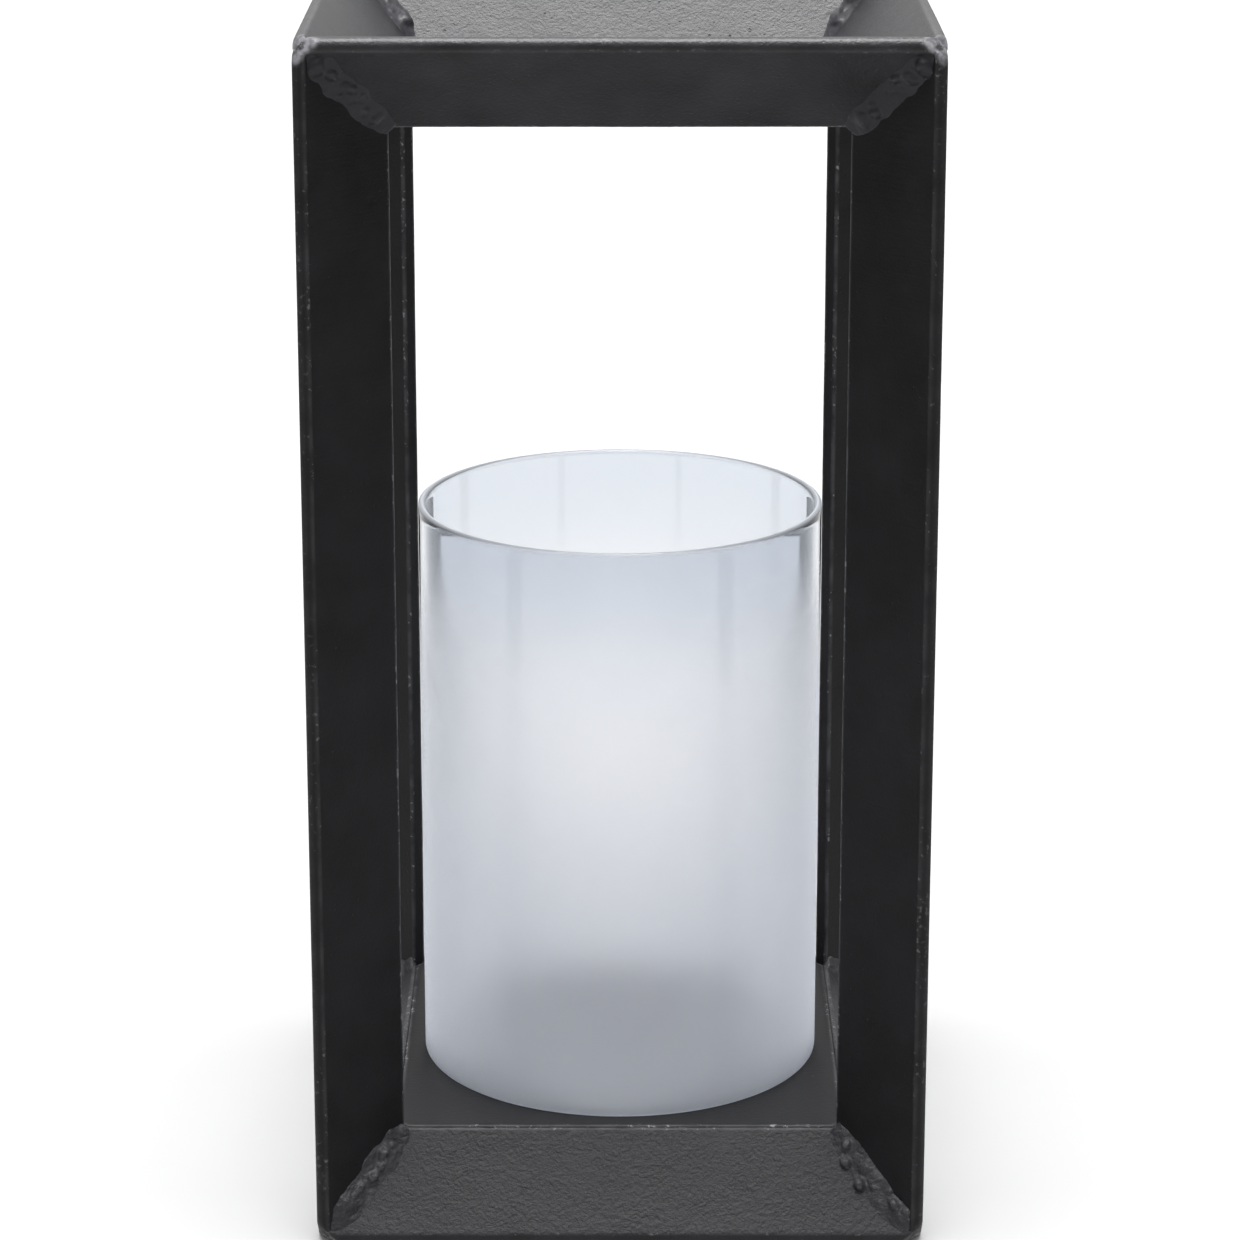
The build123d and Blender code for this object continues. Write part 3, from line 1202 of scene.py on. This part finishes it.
@dataclass(frozen=True)
class Fillet:
    """The body of a weld: a broad face that runs out smoothly onto both plates.

    The side shift is how far apart the two legs read their wobble, so that they don't wobble together.
    """

    leg: float
    fullness: float
    start_share: float = 0.12
    end_share: float = 0.52
    start_taper: float = 8 * MM
    end_taper: float = 12 * MM
    wobble: float = 0.14
    wobble_length: float = 7 * MM
    station: float = 0.8 * MM
    face_steps: int = 12
    tail: float = 1.1 * MM
    tail_drop: float = 0.35
    sink: float = 1.0 * MM
    side_shift: float = 0.1

    def width(self, along: float, length: float, where: Vector) -> float:
        """How far the weld reaches up its plates at one place.

        Args:
            along: the distance from the run's start.
            length: the run's length.
            where: the place itself, which steers the wobble.

        Returns:
            The leg, in metres.
        """
        opening = min(along / self.start_taper, 1.0)
        closing = min((length - along) / self.end_taper, 1.0)
        share = self.start_share + (1 - self.start_share) * math.sin(opening * math.pi / 2)
        share *= self.end_share + (1 - self.end_share) * math.sin(closing * math.pi / 2)
        return self.leg * share * (1 + self.wobble * noise.noise(where / self.wobble_length))

    def section(
        self, root: Vector, sides: tuple[Vector, Vector], legs: tuple[float, float]
    ) -> list[Vector]:
        """The weld's closed section: its face from one plate to the other, then its buried back.

        Args:
            root: where the two faces meet.
            sides: each face's direction.
            legs: how far the weld reaches along each face.

        Returns:
            The section's points.
        """
        middle = (sides[0] + sides[1]).normalized()
        above = [(middle - side * middle.dot(side)).normalized() for side in sides]
        toes = [root + side * leg for side, leg in zip(sides, legs)]
        tails = [
            toe + (side - lift * self.tail_drop) * (self.tail * leg / self.leg)
            for toe, side, lift, leg in zip(toes, sides, above, legs)
        ]
        bulge = root + middle * (self.fullness * (legs[0] + legs[1]) / (2 * self.leg))
        face = []
        for i in range(self.face_steps + 1):
            t = i / self.face_steps
            face.append(toes[0] * (1 - t) ** 2 + bulge * (2 * t * (1 - t)) + toes[1] * t**2)
        low = [tail - lift * self.sink for tail, lift in zip(tails, above)]
        return [tails[0], *face, tails[1], low[1], root - middle * self.sink, low[0]]

    def make(self, name: str, runs: Iterable[Run]) -> Object:
        """Makes the bodies of a group of runs as one mesh."""
        points: list[Vector] = []
        faces: list[tuple[int, ...]] = []
        for run in runs:
            length = (run.end - run.start).length
            stations = round(length / self.station)
            first = len(points)
            for i in range(stations + 1):
                root = run.start.lerp(run.end, i / stations)
                legs = tuple(
                    self.width(length * i / stations, length, root + side * self.side_shift)
                    for side in run.sides
                )
                ring = self.section(root, run.sides, legs)
                points += ring
            count = len(ring)
            for i, j in product(range(stations), range(count)):
                near, far = first + i * count, first + (i + 1) * count
                faces.append((near + j, near + (j + 1) % count, far + (j + 1) % count, far + j))
            faces.append(tuple(first + j for j in reversed(range(count))))
            faces.append(tuple(len(points) - count + j for j in range(count)))
        return new_piece(name, points, faces=faces)


@dataclass
class Welds:
    """The fillet welds in the eight corners, and the tack welds under the platform."""

    size: BoxFrame
    skin: CastSkin
    start: float = 7.0 * MM
    end_reach: float = 1.4 * MM
    puddle_start: float = 5.5 * MM
    puddle_end: float = 9.0 * MM
    tack_length: float = 22.0 * MM
    tack_spread: float = 44.0 * MM
    puddle_lift: float = 0.9 * MM
    voxel: float = 0.55 * MM
    smoothing: int = 3
    corner_fillet: Fillet = Fillet(5.4 * MM, 2.6 * MM)
    tack_fillet: Fillet = Fillet(
        2.6 * MM, 1.2 * MM, tail=0.5 * MM, sink=0.7 * MM, start_taper=4 * MM, end_taper=4 * MM
    )
    base_hands: tuple[WeldHand, ...] = (
        WeldHand(5.2 * MM, (2.0 * MM, 3.4 * MM, 2.6 * MM), 0.55, 2.6 * MM, 0.25, 0.2),
        WeldHand(4.2 * MM, (2.8 * MM, 1.6 * MM, 2.0 * MM), 0.60, 4.4 * MM, 0.3, 0.3),
    )
    top_hands: tuple[WeldHand, ...] = (
        WeldHand(5.6 * MM, (2.2 * MM, 3.6 * MM, 2.9 * MM), 0.28, 1.6 * MM, 0.25, 0.2),
        WeldHand(5.0 * MM, (2.5 * MM, 2.2 * MM, 2.6 * MM), 0.30, 2.8 * MM, 0.3, 0.2),
    )
    tack_hands: tuple[WeldHand, ...] = (
        WeldHand(2.0 * MM, (0.9 * MM, 1.7 * MM, 1.6 * MM), 0.12, 0.2 * MM),
    )
    base_surface: CastSurface = CastSurface(
        wave=(2.0 * MM, 8 * MM),
        lump=(1.6 * MM, 3.8 * MM),
        grain=(0.4 * MM, 1.6 * MM),
        dent=(0.0, 2 * MM, 9 * MM),
    )
    top_surface: CastSurface = CastSurface(
        wave=(1.4 * MM, 9 * MM),
        lump=(0.9 * MM, 4.5 * MM),
        grain=(0.15 * MM, 1.8 * MM),
        dent=(0.0, 2 * MM, 9 * MM),
    )
    hand_seeds: int = 100

    def __post_init__(self) -> None:
        """Makes the puddle tree and the weld's finish."""
        self.puddles = WeldPuddles()
        # Both welds wear one graphite paint, coloured apart as painted light and shade: lighter on the base
        # welds, darker on the top welds.
        self.base_paint = SatinPaint(
            "satin_paint_on_base_weld",
            colour="#2b2a2e",
            light_colour="#3a393d",
            roughness=0.50,
            gloss=0.38,
            grain_size=1.3 * MM,
            grain_depth=0.25 * MM,
            wrinkle_size=3.2 * MM,
            wrinkle_depth=0.9 * MM,
            rub_and_highlight=0.15,
            nick=0.2,
        ).material()
        self.top_paint = SatinPaint(
            "satin_paint_on_top_weld",
            colour="#1b191f",
            light_colour="#26242b",
            roughness=0.46,
            gloss=0.5,
            rub_and_highlight=0.1,
            nick=0.1,
        ).material()

    def corner_runs(self, corner: Corner) -> Iterator[Run]:
        """The three runs of a corner, one in each angle between two plates."""
        seam = corner.seam
        for first, second in combinations(Spoke, 2):
            one, other = corner.spoke(first), corner.spoke(second)
            middle = (one + other).normalized()
            root = corner.outer + middle * (self.size.half_thickness / math.sin(one.angle(other) / 2))
            start, end = self.start, seam.length + self.end_reach
            yield Run(root + seam.normalized() * start, root + seam.normalized() * end, (one, other))

    def tack_runs(self) -> Iterator[Run]:
        """The tacks under the platform, in its angle with each base rail."""
        size = self.size
        down = Vector((0, -size.inset, -size.rise)).normalized()
        for turn, middle in product(range(4), (-self.tack_spread / 2, self.tack_spread / 2)):
            about = Matrix.Rotation(turn * math.pi / 2, 3, "Z")
            root = Vector((middle, -size.opening_half, size.platform_low))
            half = Vector((self.tack_length / 2, 0, 0))
            sides = (about @ down, about @ Vector((0, 1, 0)))
            yield Run(about @ (root - half), about @ (root + half), sides)

    def bead(
        self,
        name: str,
        runs: list[Run],
        fillet: Fillet,
        hands: Iterable[WeldHand],
        surface: CastSurface,
        paint: Material,
        seed: int,
    ) -> Object:
        """Lays one group of runs, melts each body and its puddles together and gives them their surface.

        Args:
            name: the piece's name.
            runs: the runs.
            fillet: the body of each.
            hands: the puddles that are laid on it.
            surface: how rough it is.
            paint: its finish.
            seed: makes this group's puddles its own.

        Returns:
            The group, as one piece.
        """
        piece = fillet.make(name, runs)
        lift = self.puddle_lift * fillet.leg / self.corner_fillet.leg
        for extra, hand in enumerate(hands):
            points = []
            for run in runs:
                way = (run.end - run.start).normalized()
                trim = min(fillet.leg / self.corner_fillet.leg, 1.0)
                near = run.start + way * (self.puddle_start * trim)
                far = run.end - way * (self.puddle_end * trim)
                points += [near + run.middle * lift, far + run.middle * lift]
            wires = new_piece(f"{name}_puddles", points, [(i, i + 1) for i in range(0, len(points), 2)])
            store(wires, "outward", "FLOAT_VECTOR", [run.middle for run in runs for _ in range(2)])
            hand.lay(wires, self.puddles, seed + self.hand_seeds * extra)
            shape = bmesh.new()
            shape.from_mesh(piece.data)
            shape.from_mesh(wires.data)
            shape.to_mesh(piece.data)
            shape.free()
            bpy.data.objects.remove(wires)
        melt = piece.modifiers.new("melt", "REMESH")
        melt.mode, melt.voxel_size = "VOXEL", self.voxel
        flow = piece.modifiers.new("flow", "SMOOTH")
        flow.iterations, flow.factor = self.smoothing, 0.5
        settle(piece)
        surface.put_on(piece, self.skin, self.size, paint, seed)
        settle(piece)
        return piece

    def make(self) -> Iterator[tuple[Object, str]]:
        """Makes every weld; gives each with the node that it stands for."""
        depths, sides = {-1: "front", 1: "back"}, {-1: "left", 1: "right"}
        places = product(Level, depths, sides)
        for seed, (level, depth, side) in enumerate(places, FirstSeed.CORNER_WELD.value):
            node = f"corner_weld_{level.name.lower()}_{depths[depth]}_{sides[side]}"
            runs = list(self.corner_runs(Corner(self.size, Vector((side, depth, level.value)))))
            at_base = level is Level.BASE
            hands = self.base_hands if at_base else self.top_hands
            surface = self.base_surface if at_base else self.top_surface
            paint = self.base_paint if at_base else self.top_paint
            yield self.bead(f"bead_{node}", runs, self.corner_fillet, hands, surface, paint, seed), node
        tacks = self.bead(
            "bead_platform_tacks",
            list(self.tack_runs()),
            self.tack_fillet,
            self.tack_hands,
            self.top_surface,
            self.top_paint,
            FirstSeed.TACK_WELD.value,
        )
        yield tacks, "platform_tack_welds"


@dataclass
class Platform:
    """The square plate that the glass stands on."""

    size: BoxFrame
    skin: CastSkin
    voxel: float = 0.9 * MM
    edge_softness: float = 0.7 * MM
    gap: float = 0.1 * MM
    surface: CastSurface = CastSurface(
        wave=(0.2 * MM, 50 * MM),
        lump=(0.05 * MM, 10 * MM),
        grain=(0.03 * MM, 2.0 * MM),
        dent=(0.12 * MM, 2 * MM, 18 * MM),
    )

    def make(self) -> tuple[Object, str]:
        """Makes the platform; gives it with the node that it stands for."""
        size = self.size
        corner_sum = 2 * (size.half_width - size.inset)
        points: list[Vector] = []
        levels = ((size.platform_low, size.opening_half), (size.platform_high, size.platform_half))
        for height, half in levels:
            reach = half - self.gap
            cut = min(reach, corner_sum - reach)
            eighth = ((reach, cut), (cut, reach))
            for turn in range(4):
                about = Matrix.Rotation(turn * math.pi / 2, 3, "Z")
                points += [about @ Vector((x, y, height)) for x, y in eighth]
        ring = range(8)
        faces = [tuple(reversed(ring)), tuple(i + 8 for i in ring)]
        faces += [(i, (i + 1) % 8, (i + 1) % 8 + 8, i + 8) for i in ring]
        piece = new_piece("cast_candle_platform", points, faces=faces)
        soft = piece.modifiers.new("soft_edges", "BEVEL")
        soft.width, soft.segments = self.edge_softness, 3
        grid = piece.modifiers.new("grid", "REMESH")
        grid.mode, grid.voxel_size = "VOXEL", self.voxel
        settle(piece)
        paint = SatinPaint(
            "satin_paint_on_cast_platform", colour="#1a191b", light_colour="#212022", rub_and_highlight=0.2, speck=0.7
        ).material()
        self.surface.put_on(piece, self.skin, size, paint, FirstSeed.PLATFORM.value)
        settle(piece)
        return piece, "candle_platform"


@dataclass
class Glass:
    """The glass cylinder, which lifts out.

    The wall wavers inwards by a few faint waves, each with its turns round the glass and its climb, in
    radians to the metre.
    """

    wall: float = 2.5 * MM
    clear_height: float = 216 * MM
    frosted_height: float = 125 * MM
    rim_steps: int = 8
    height_step: float = 3.0 * MM
    around: int = 256
    waver: float = 0.06 * MM
    waves: tuple[tuple[int, float], ...] = ((5, 40.0), (3, -25.0))

    def make(self) -> tuple[Object, str]:
        """Makes the glass; gives it with the node that it stands for."""
        low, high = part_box("hurricane_glass")
        radius, half_wall = high.x, self.wall / 2
        middle = radius - half_wall
        steps = round((high.z - low.z) / self.height_step)
        lowest, highest = low.z + half_wall, high.z - half_wall
        wall = [lowest + (highest - lowest) * i / steps for i in range(steps + 1)]
        arc = [math.pi * i / self.rim_steps for i in range(1, self.rim_steps)]
        section = [(middle + half_wall, z) for z in wall]
        section += [(middle + half_wall * math.cos(t), highest + half_wall * math.sin(t)) for t in arc]
        section += [(middle - half_wall, z) for z in reversed(wall)]
        section += [(middle - half_wall * math.cos(t), lowest - half_wall * math.sin(t)) for t in arc]
        points = []
        for i in range(self.around):
            angle = math.tau * i / self.around
            for reach, z in section:
                waves = sum(math.sin(turns * angle + climb * z) - 1 for turns, climb in self.waves)
                out = reach + self.waver * waves / (2 * len(self.waves))
                points.append((out * math.cos(angle), out * math.sin(angle), z))
        count = len(section)
        faces = []
        for i, j in product(range(self.around), range(count)):
            near, far, k = i * count, (i + 1) % self.around * count, (j + 1) % count
            faces.append((near + j, far + j, far + k, near + k))
        piece = new_piece("drawn_hurricane_glass", points, faces=faces)
        settle(piece)
        finish = FrostedGlass(
            low.z + self.clear_height, low.z + self.frosted_height, low.z, rim_height=high.z
        )
        piece.data.materials.clear()
        piece.data.materials.append(finish.material())
        return piece, "hurricane_glass"


@dataclass
class Studio:
    """The floor, the light and the camera."""

    floor_half: float = 12.0
    floor_colour: str = "#bcbcbc"
    floor_roughness: tuple[float, float] = (0.85, 0.95)
    cloud_scale: float = 1.5
    camera_place: tuple[float, float, float] = (0.0, -1.4942, 0.6566)
    pitch_down: float = 16.17
    lens: float = 120.96
    shift: float = -0.04
    overhead_angle: float = 38.0
    overhead_strength: float = 4.2
    tent_peak: float = 2.0
    backdrop: float = 0.8
    backdrop_reach: tuple[float, float] = (0.6, 0.95)
    tent_stops: tuple[tuple[float, float], ...] = (
        (-1.0, 0.45), (-0.4, 0.8), (-0.15, 0.04), (0.0, 0.03), (0.4, 0.3), (0.8, 1.0), (1.0, 1.9)
    )

    def make_floor(self) -> None:
        """Lays a plain pale floor, which the paint doesn't mirror.

        The floor is a matte painted board: it gives the eye an even near-white with no shine, on which the
        lantern's soft shadow shows.
        """
        half = self.floor_half
        corners = [(-half, -half, 0), (half, -half, 0), (half, half, 0), (-half, half, 0)]
        floor = new_piece("studio_floor", corners, faces=[(0, 1, 2, 3)])
        floor.visible_glossy = False
        material, add = new_material("matte_painted_board")
        place = add("ShaderNodeTexCoord").outputs["Object"]
        cloud = add("ShaderNodeTexNoise", {"Vector": place, "Scale": self.cloud_scale, "Detail": 2.0})
        least, most = self.floor_roughness
        rough = add("ShaderNodeMapRange", {"Value": cloud, "To Min": least, "To Max": most})
        board = add(
            "ShaderNodeBsdfPrincipled",
            {"Base Color": linear(self.floor_colour), "Roughness": rough, "Specular IOR Level": 0.0},
        )
        add("ShaderNodeOutputMaterial", {"Surface": board})
        floor.data.materials.append(material)
        floor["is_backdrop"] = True

    def make_sky(self) -> None:
        """Surrounds the object with a soft tent, bright overhead, dim at the sides and pale from below."""
        world = bpy.data.worlds.new("light_tent")
        bpy.context.scene.world = world
        world.use_nodes = True
        world.node_tree.nodes.clear()
        add = partial(add_node, world.node_tree)
        way = add("ShaderNodeTexCoord").outputs["Generated"]
        up = add("ShaderNodeSeparateXYZ", {0: way})
        share = add("ShaderNodeMapRange", {"Value": up.outputs["Z"], "From Min": -1.0})
        ramp = add("ShaderNodeValToRGB", {"Fac": share})
        stops = ramp.color_ramp.elements
        while len(stops) < len(self.tent_stops):
            stops.new(0.5)
        for stop, (height, light) in zip(stops, self.tent_stops):
            stop.position = (height + 1) / 2
            stop.color = (*(light / self.tent_peak,) * 3, 1.0)
        tent = add("ShaderNodeMath", {0: ramp, 1: self.tent_peak}, operation="MULTIPLY")
        start, full = self.backdrop_reach
        backdrop = add(
            "ShaderNodeMapRange",
            {"Value": up.outputs["Y"], "From Min": start, "From Max": full, "To Max": self.backdrop},
            interpolation_type="SMOOTHSTEP",
        )
        tent = add("ShaderNodeMath", {0: tent, 1: backdrop}, operation="ADD")
        rays = add("ShaderNodeLightPath")
        seen = add(
            "ShaderNodeMath",
            {0: rays.outputs["Is Camera Ray"], 1: rays.outputs["Is Transmission Ray"]},
            operation="MAXIMUM",
        )
        strength = add("ShaderNodeMix", {"Factor": seen, "A": tent, "B": 1.0}, data_type="FLOAT")
        light = add("ShaderNodeBackground", {"Color": (1, 1, 1, 1), "Strength": strength})
        add("ShaderNodeOutputWorld", {"Surface": light})

    def make_lights(self) -> None:
        """Hangs one very large soft light straight overhead."""
        lamp = bpy.data.lights.new("overhead_softbox", "SUN")
        lamp.angle, lamp.energy = math.radians(self.overhead_angle), self.overhead_strength
        holder = bpy.data.objects.new("overhead_softbox", lamp)
        bpy.context.scene.collection.objects.link(holder)

    def make_camera(self) -> None:
        """Sets the camera up, level from side to side and looking a little down."""
        scene = bpy.context.scene
        camera = bpy.data.cameras.new("studio_camera")
        camera.lens, camera.shift_y = self.lens, self.shift
        holder = bpy.data.objects.new("studio_camera", camera)
        holder.location = self.camera_place
        holder.rotation_euler = (math.radians(90 - self.pitch_down), 0, 0)
        scene.collection.objects.link(holder)
        scene.camera = holder
        scene.view_settings.view_transform = "Standard"

    def make(self) -> None:
        """Makes the whole studio."""
        self.make_floor()
        self.make_sky()
        self.make_lights()
        self.make_camera()


def finish_piece(piece: Object, node: str, body: str, slot: str) -> None:
    """Joins a piece to its body, hides the node that it stands for, and reports it."""
    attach(piece, body)
    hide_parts(node)
    log.info("%s stands for %s: %d faces", piece.name, node, len(piece.data.polygons))


def main() -> None:
    """Builds the studio and every part of the lantern."""
    logging.basicConfig(level=logging.INFO, format="%(name)s: %(message)s")
    size = BoxFrame.read()
    skin = CastSkin()
    Studio().make()
    for piece, node in CastFrame(size, skin).make():
        finish_piece(piece, node, "frame", "cast_frame")
    finish_piece(*Platform(size, skin).make(), "frame", "platform_plate")
    for piece, node in Welds(size, skin).make():
        finish_piece(piece, node, "frame", "weld_metal")
    finish_piece(*Glass().make(), "glass", "ombre_glass")
    boxes = {"cad_box": CAD_BOX, "visual_box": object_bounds()}
    {name: [list(corner) for corner in box] for name, box in boxes.items()}


if __name__ == "__main__":
    main()
